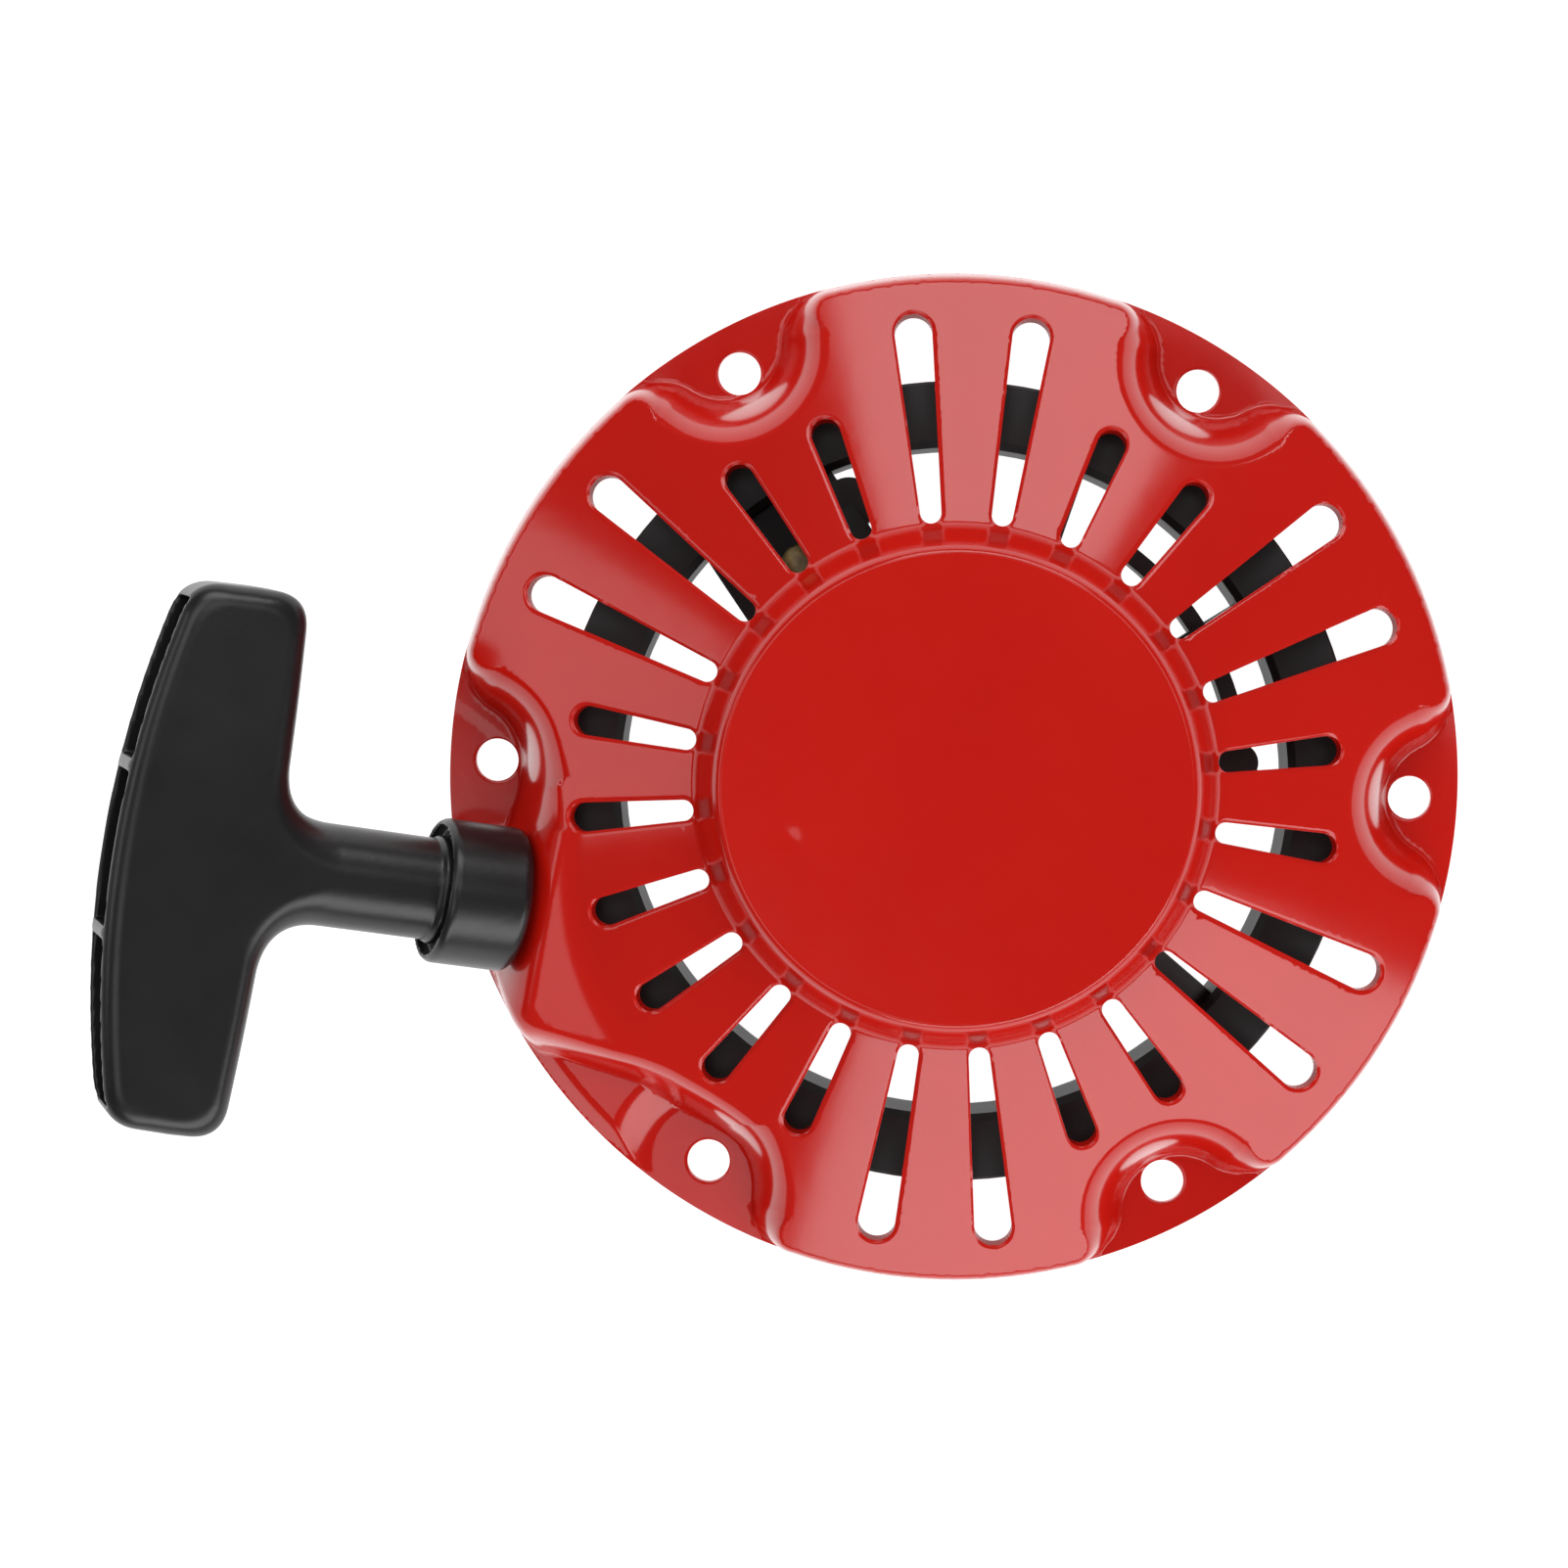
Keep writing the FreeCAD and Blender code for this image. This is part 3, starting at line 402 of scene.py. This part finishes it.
def build_cover():
    pts, edges = [], []

    def loop(points):
        start = len(pts)
        pts.extend(points.tolist())
        edges.extend([(start + i, start + (i + 1) % len(points)) for i in range(len(points))])

    loop(ring_points(RIM, 720))
    for s in SLOTS:
        loop(slot_ring(*s, 0.0))
    for k in range(6):
        a = math.radians(60 * k)
        loop(ring_points(HOLE_R, 48) + [HOLE_CIRCLE * math.cos(a), HOLE_CIRCLE * math.sin(a)])
    extra = [slot_ring(*s, g) for s in SLOTS for g in (0.14, 0.32, 0.55, 0.85)]
    for g in (0.12, 0.3, 0.6):
        for k in range(6):
            a = math.radians(60 * k)
            extra.append(ring_points(HOLE_R + g, 48) + [HOLE_CIRCLE * math.cos(a), HOLE_CIRCLE * math.sin(a)])
    for r in np.arange(32.4, 44.2, 0.33):
        extra.append(ring_points(r, 220, 0.5))
    extra.append(outline_rows())
    extra.append(np.array([DIMPLE]) + np.random.default_rng(3).uniform(-3, 3, (90, 2)))
    extra = np.concatenate(extra)
    extra = extra[np.hypot(*extra.T) < RIM - 0.04]
    cells = {}
    kept = []

    def claim(p, gap):
        key = (int(p[0] // gap), int(p[1] // gap))
        for i in (-1, 0, 1):
            for j in (-1, 0, 1):
                for q in cells.get((gap, key[0] + i, key[1] + j), ()):
                    if (q[0] - p[0]) ** 2 + (q[1] - p[1]) ** 2 < gap * gap:
                        return False
        return True

    def put(p, gaps):
        for gap in gaps:
            cells.setdefault((gap, int(p[0] // gap), int(p[1] // gap)), []).append(p)

    gaps = (0.11, 0.45, 1.1)
    for p in pts:
        put(p, gaps)
    for p in extra.tolist():
        if claim(p, 0.11):
            kept.append(p)
            put(p, gaps)
    for step, low, high in ((0.72, 58, RIM - 0.5), (2.0, 0, 58)):
        n = int(90 / step)
        grid = [(i * step + (j % 2) * step / 2, j * step * 0.866)
                for j in range(-n - 10, n + 11) for i in range(-n, n)]
        for p in grid:
            if low <= math.hypot(*p) < high and claim(p, 0.45 if low else 1.1):
                kept.append(list(p))
    allpts = np.array(pts + kept)
    out = delaunay_2d_cdt([Vector(p) for p in allpts], edges, [], 0, 1e-7)
    xy = np.array([v[:] for v in out[0]])
    tris = np.array([f for f in out[2]])
    mid = xy[tris].mean(1)
    ok = (slot_distance(mid[:, 0], mid[:, 1]) > -0.02) & (hole_distance(mid[:, 0], mid[:, 1]) > -0.01)
    ok &= np.hypot(*mid.T) < RIM
    a, b, c = (xy[tris[:, i]] for i in range(3))
    area = (b[:, 0] - a[:, 0]) * (c[:, 1] - a[:, 1]) - (b[:, 1] - a[:, 1]) * (c[:, 0] - a[:, 0])
    tris = np.where((area < 0)[:, None], tris[:, ::-1], tris)
    tris = tris[ok & (np.abs(area) > 1e-6)]
    used, inverse = np.unique(tris, return_inverse=True)
    xy, tris = xy[used], inverse.reshape(tris.shape)

    x, y = xy[:, 0], xy[:, 1]
    z = skin(x, y)
    on_rim = np.hypot(x, y) > RIM - 0.02
    normal = gradient_normal(skin, x, y)
    plain = gradient_normal(cover_height, x, y)
    rim_n = np.stack([x, y, 0.35 * np.hypot(x, y)], 1)
    rim_n /= np.linalg.norm(rim_n, axis=1, keepdims=True)
    lobe_foot = on_rim & (z < 1.0)
    plain[lobe_foot] = rim_n[lobe_foot]
    top = np.stack([x, y, z], 1)
    base = np.stack([x, y, cover_height(x, y)], 1)
    low = base - plain * SHEET
    low[:, 2] = np.maximum(low[:, 2], 0.0)
    low[on_rim, 2] = 0.0
    n = len(xy)
    count = {}
    for t in tris:
        for e in ((t[0], t[1]), (t[1], t[2]), (t[2], t[0])):
            count[tuple(sorted(e))] = count.get(tuple(sorted(e)), 0) + 1
    border = [(i, j) for t in tris for i, j in ((t[0], t[1]), (t[1], t[2]), (t[2], t[0]))
              if count[(min(i, j), max(i, j))] == 1]
    ids = sorted({i for e in border for i in e})
    at = {v: k for k, v in enumerate(ids)}
    edge_n = np.zeros((len(ids), 3))
    for i, j in border:
        d = xy[j] - xy[i]
        out_n = np.array([d[1], -d[0], 0]) / max(np.linalg.norm(d), 1e-9)
        edge_n[at[i]] += out_n
        edge_n[at[j]] += out_n
    edge_n /= np.maximum(np.linalg.norm(edge_n, axis=1, keepdims=True), 1e-9)
    m = len(ids)
    verts = np.concatenate([top, low, top[ids], low[ids]])
    normals = np.concatenate([normal, -plain, edge_n, edge_n])
    faces = [tuple(t) for t in tris] + [tuple(n + t[::-1]) for t in tris]
    faces += [(2 * n + at[j], 2 * n + at[i], 2 * n + m + at[i], 2 * n + m + at[j]) for i, j in border]
    print("cover:", len(verts), "points", len(faces), "faces")
    return make_object("starter_cover", verts, faces, normals, "cover", ("starter_case",), PAINT)


build_cover()


# ---------------------------------------------------------------- smooth solids from distance fields
def surface_nets(field, low, high, step):
    """Closed quad mesh of field(x, y, z) = 0 over a box, settled onto the surface, with its normals."""
    axes = [np.arange(a, b + step, step) for a, b in zip(low, high)]
    grid = np.meshgrid(*axes, indexing="ij")
    f = field(*grid)
    inside = f < 0
    n = [len(a) - 1 for a in axes]
    total = np.zeros((*n, 3))
    count = np.zeros(n)
    for axis in range(3):
        others = [a for a in range(3) if a != axis]
        for i in (0, 1):
            for j in (0, 1):
                off = [0, 0, 0]
                off[others[0]], off[others[1]] = i, j
                here = tuple(slice(o, o + m) for o, m in zip(off, n))
                off[axis] = 1
                there = tuple(slice(o, o + m) for o, m in zip(off, n))
                a, b = f[here], f[there]
                cross = (a < 0) != (b < 0)
                t = np.where(cross, a / np.where(cross, a - b, 1), 0)
                p = np.stack([g[here] for g in grid], -1)
                p[..., axis] += t * step
                total[cross] += p[cross]
                count[cross] += 1
    active = count > 0
    index = np.full(n, -1)
    index[active] = np.arange(active.sum())
    verts = total[active] / count[active][:, None]
    faces = []
    for axis in range(3):
        others = [a for a in range(3) if a != axis]
        here = [slice(None)] * 3
        there = [slice(None)] * 3
        here[axis], there[axis] = slice(0, -1), slice(1, None)
        a, b = inside[tuple(here)], inside[tuple(there)]
        for flip, mask in ((False, a & ~b), (True, b & ~a)):
            c = np.argwhere(mask)
            c = c[(c[:, others[0]] > 0) & (c[:, others[1]] > 0)]
            c = c[(c[:, others[0]] < n[others[0]]) & (c[:, others[1]] < n[others[1]])]
            quad = []
            for i, j in ((-1, -1), (0, -1), (0, 0), (-1, 0)):
                q = c.copy()
                q[:, others[0]] += i
                q[:, others[1]] += j
                quad.append(index[tuple(q.T)])
            quad = np.stack(quad, 1)
            if flip != (axis == 1):
                quad = quad[:, ::-1]
            faces.append(quad)
    faces = np.concatenate(faces)

    def grad(p, eps=0.02):
        g = []
        for k in range(3):
            d = np.zeros(3)
            d[k] = eps
            g.append((field(*(p + d).T) - field(*(p - d).T)) / (2 * eps))
        return np.stack(g, 1)

    for _ in range(3):
        g = grad(verts)
        move = field(*verts.T)[:, None] * g / np.maximum((g * g).sum(1, keepdims=True), 0.2)
        verts = verts - np.clip(move, -step * 0.5, step * 0.5)
    g = grad(verts)
    return verts, faces, g / np.maximum(np.linalg.norm(g, axis=1, keepdims=True), 1e-9)


PULL = np.array([*(PULL_PLAN * math.cos(TILT)), math.sin(TILT)])
UP = np.array([*(-PULL_PLAN * math.sin(TILT)), math.cos(TILT)])
ACROSS = np.cross(PULL, UP)
SEAT_REACH, SEAT_SIDE, SEAT_Z = 68.2, 31.9, 13.0
SEAT = np.array([*(PULL_PLAN * SEAT_REACH + PULL_SIDE * SEAT_SIDE), SEAT_Z])
TO_ROW = np.stack([UP, ACROSS, PULL])          # rows: local x, y, z in the row frame


def place(verts, normals):
    return verts @ TO_ROW + SEAT, normals @ TO_ROW


BAR_Z, BAR_DEPTH, BAR_HALF, BAR_T = 42.0, 26.4, 44.4, 7.75


def bar_open(y, z):
    """Bar outline without its outer face: the inner face bows out slightly, the ends taper."""
    inner = -(z - BAR_Z - y * y / 1300.0)
    ends = np.abs(y) - (BAR_HALF - np.maximum(z - 52.0, 0) * 0.05)
    return smax(inner, ends, 5.5)


def grip_field(x, y, z):
    ay = np.abs(y)
    outer = z - (BAR_Z + BAR_DEPTH) + y * y / 322.0
    flat = smax(bar_open(y, z), outer, 5.0)
    neck = smax(ay - 8.4, z - 50.0, 2.0)
    plan = smin(flat, neck, 9.0)
    blend = smooth(32.0, 44.0, z)
    rnd = 7.7 + (3.4 - 7.7) * blend
    w1, w2 = plan + rnd, np.abs(x) - (8.0 + (BAR_T - 8.0) * blend) + rnd
    d = np.hypot(np.maximum(w1, 0), np.maximum(w2, 0)) + np.minimum(np.maximum(w1, w2), 0) - rnd
    d = smax(d, 9.0 - z, 1.0)
    r = np.hypot(x, y)
    w1, w2 = r - 12.0 + 1.7, np.abs(z - 7.5) - 7.2 + 1.7
    collar = np.hypot(np.maximum(w1, 0), np.maximum(w2, 0)) + np.minimum(np.maximum(w1, w2), 0) - 1.7
    groove = smax(np.abs(r - 9.9) - 0.95, 12.2 - z, 0.5)
    collar = smax(collar, -groove, 0.5)
    d = smin(d, collar, 0.8)
    bay = smax(smax(bar_open(y, z) + 2.8, np.abs(x) - 5.1, 1.0), 46.0 - z, 1.5)
    bay = smax(bay, -(np.abs(ay - 13.5) - 1.1), 0.8)
    d = smax(d, -bay, 0.7)
    d = np.maximum(d, -(r - 2.2))
    return smax(d, -smax(r - 7.2, z - 3.0, 0.4), 0.4)


def build_grip():
    step = 0.55
    v, f, nrm = surface_nets(grip_field, (-13.2, -46, -0.8), (13.2, 46, 70.5), step)
    v, nrm = place(v, nrm)
    print("grip:", len(v), "points")
    return make_object("pull_grip", v, f, nrm, "grip", ("grip",), GRIP_PLASTIC)


build_grip()


def tube(path, radius, sides=20):
    """Round rope along a path of millimetre points: vertices, faces, normals and (turn, length) UV."""
    path = np.asarray(path, float)
    tangent = np.gradient(path, axis=0)
    tangent /= np.linalg.norm(tangent, axis=1, keepdims=True)
    side = unit(np.cross(tangent[0], [0.3, 0.2, 1]))
    length = np.concatenate([[0], np.cumsum(np.linalg.norm(np.diff(path, axis=0), axis=1))])
    verts, normals, uv, faces = [], [], [], []
    for i, (p, t) in enumerate(zip(path, tangent)):
        side = unit(side - t * (side @ t))
        up = np.cross(t, side)
        for k in range(sides + 1):
            a = 2 * math.pi * k / sides
            n = side * math.cos(a) + up * math.sin(a)
            verts.append(p + n * radius)
            normals.append(n)
            uv.append((k / sides, length[i]))
    ring = sides + 1
    for i in range(len(path) - 1):
        for k in range(sides):
            a = i * ring + k
            faces.append((a, a + 1, a + ring + 1, a + ring))
    for i, flip in ((0, True), (len(path) - 1, False)):
        centre = len(verts)
        verts.append(path[i])
        normals.append(tangent[i] * (-1 if flip else 1))
        uv.append((0, length[i]))
        for k in range(sides):
            a, b = i * ring + k, i * ring + k + 1
            faces.append((centre, b, a) if flip else (centre, a, b))
    return verts, faces, normals, uv


def curve_through(points, steps):
    """Evenly stepped smooth line through the points (Catmull-Rom)."""
    p = np.asarray(points, float)
    p = np.concatenate([[2 * p[0] - p[1]], p, [2 * p[-1] - p[-2]]])
    out = []
    for i in range(1, len(p) - 2):
        a, b, c, d = p[i - 1], p[i], p[i + 1], p[i + 2]
        for t in np.arange(steps) / steps:
            out.append(0.5 * (2 * b + (c - a) * t + (2 * a - 5 * b + 4 * c - d) * t ** 2
                              + (3 * b - a - 3 * c + d) * t ** 3))
    out.append(p[-2])
    return np.array(out)


COIL_R, PITCH, ROPE_R = 59.5, 3.51, 1.75
COIL_START, KNOT_TURN = 115.0, 127
ROPE_LOW = 2.6 + 1.3 + 1.75 + 0.1
ENTRY = SEAT - PULL * 8.5
LEAVE = (math.degrees(math.atan2(ENTRY[1], ENTRY[0])) % 360
         + math.degrees(math.acos(COIL_R / math.hypot(ENTRY[0], ENTRY[1]))))
TURNS = (COIL_START + 1080.0 - LEAVE) / 360.0


def polar(r, deg, z):
    return np.array([r * math.cos(math.radians(deg)), r * math.sin(math.radians(deg)), z])


def build_ropes():
    knot = polar(43.0, KNOT_TURN, 0)
    head = [knot + [0, 0, 23.9], knot + [0, 0, 19.5], polar(43.2, KNOT_TURN, 16.5),
            polar(45.0, KNOT_TURN, 11.2), polar(48.6, KNOT_TURN, 7.4),
            polar(52.5, KNOT_TURN, ROPE_LOW + 0.4), polar(55.6, 126.6, ROPE_LOW + 0.15),
            polar(58.2, 124.0, ROPE_LOW + 0.05)]
    n = int(TURNS * 24)
    coil = [polar(COIL_R, COIL_START - 360 * TURNS * i / n, ROPE_LOW + PITCH * TURNS * i / n)
            for i in range(n + 1)]
    top = ROPE_LOW + PITCH * TURNS
    leave = polar(COIL_R, LEAVE, top)
    way = polar(1, LEAVE - 90, 0)
    path = curve_through(head + coil + [leave + way * s for s in (6, 12, 18)], 4)
    v, f, nrm, uv = tube(path, ROPE_R, 14)
    make_object("rope_on_reel", v, f, nrm, "reel", ("rope_coil",), ROPE, uv)
    lead = [leave + way * 18.2, leave + way * 22 + [0, 0, -0.3], ENTRY - way * 4 + [0, 0, 0.6]]
    lead += [SEAT - PULL * 6, SEAT - PULL * 3, SEAT]
    lead += [SEAT + PULL * reach for reach in (8, 16, 24, 34, 46.8)]
    path = curve_through(lead, 12)
    v, f, nrm, uv = tube(path, ROPE_R, 16)
    rope = make_object("rope_to_grip", v, f, nrm, None, ("rope_lead", "rope_pull"), ROPE, uv)
    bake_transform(rope)


build_ropes()

# ---------------------------------------------------------------- finishes on the CAD pieces that stay
FINISH = {
    "reel": REEL_PLASTIC, "case_plate": ZINC, "center_post": ZINC, "center_bolt": ZINC, "thrust_washer": ZINC,
    "spring_cover": ZINC, "reel_bush": BRONZE, "main_spring": BLUED, "rope_guide": ZINC, "guide_retainer": ZINC,
    "knot_washer": ZINC, "pawl_a": STEEL, "pawl_b": STEEL, "pawl_pin_a": ZINC, "pawl_pin_b": ZINC,
    "pawl_spring_a": BLUED, "pawl_spring_b": BLUED, "friction_spring": BLUED, "ratchet_guide": YELLOW,
    "rope_knot_reel": KNOT, "rope_knot_grip": KNOT,
}
for node, mat in FINISH.items():
    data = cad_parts[node].data
    data.materials.clear()
    data.materials.append(mat)

# ---------------------------------------------------------------- floor, light and camera
def stage_floor():
    mat, nodes, links, shader = new_material("pale_floor", (0.9, 0.9, 0.9), 0.9)
    stops = [(0.3, (0.24, 0.24, 0.24)), (0.7, (0.26, 0.26, 0.26))]
    links.new(ramp(nodes, links, noise(nodes, links, 3, 2), stops), shader.inputs["Base Color"])
    shader.inputs["Emission Color"].default_value = (1, 1, 1, 1)
    shader.inputs["Emission Strength"].default_value = 1.0
    side, z = 4.0, -0.0006
    mesh = bpy.data.meshes.new("floor")
    corners = [(-side, -side, z), (side, -side, z), (side, side, z), (-side, side, z)]
    mesh.from_pydata(corners, [], [(0, 1, 2, 3)])
    mesh.materials.append(mat)
    floor = bpy.data.objects.new("floor", mesh)
    bpy.context.scene.collection.objects.link(floor)


stage_floor()


def softbox(name, azimuth, elevation, distance, width, height, radiance):
    """Area light aimed at the part from a compass direction; radiance is what its reflection shows."""
    a, e = math.radians(azimuth), math.radians(elevation)
    data = bpy.data.lights.new(name, "AREA")
    data.shape = "RECTANGLE"
    data.size, data.size_y = width, height
    data.energy = radiance * math.pi * width * height
    light = bpy.data.objects.new(name, data)
    where = Vector((math.cos(a) * math.cos(e), math.sin(a) * math.cos(e), math.sin(e))) * distance
    light.location = where
    light.rotation_euler = (-where).to_track_quat("-Z", "Y").to_euler()
    bpy.context.scene.collection.objects.link(light)


softbox("softbox_north", 82, 36, 1.0, 0.74, 0.44, 3.6)
softbox("softbox_south", -64, 31, 1.0, 1.4, 0.44, 3.5)
softbox("softbox_west", 172, 32, 1.2, 0.75, 0.3, 1.8)
softbox("fill_southwest", 228, 69, 1.0, 0.46, 0.40, 1.3)
softbox("fill_northwest", 130, 64, 1.0, 0.60, 0.36, 1.9)
softbox("fill_northeast", 40, 66, 1.0, 0.46, 0.34, 1.6)

world = bpy.data.worlds.new("studio")
world.use_nodes = True
world.node_tree.nodes["Background"].inputs["Color"].default_value = (1, 1, 1, 1)
world.node_tree.nodes["Background"].inputs["Strength"].default_value = 0.13
bpy.context.scene.world = world

camera = bpy.data.cameras.new("camera")
camera.sensor_width = 36.0
camera.lens = 3452.06 / 1602 * 36.0
camera.clip_start, camera.clip_end = 0.01, 20
eye = bpy.data.objects.new("camera", camera)
eye.location = (-0.01158, 0.02197, 0.57228)
eye.rotation_euler = Euler((math.radians(-2.345), math.radians(1.768), math.radians(2.304)), "XYZ")
bpy.context.scene.collection.objects.link(eye)
bpy.context.scene.camera = eye
bpy.context.scene.view_settings.view_transform = "Standard"
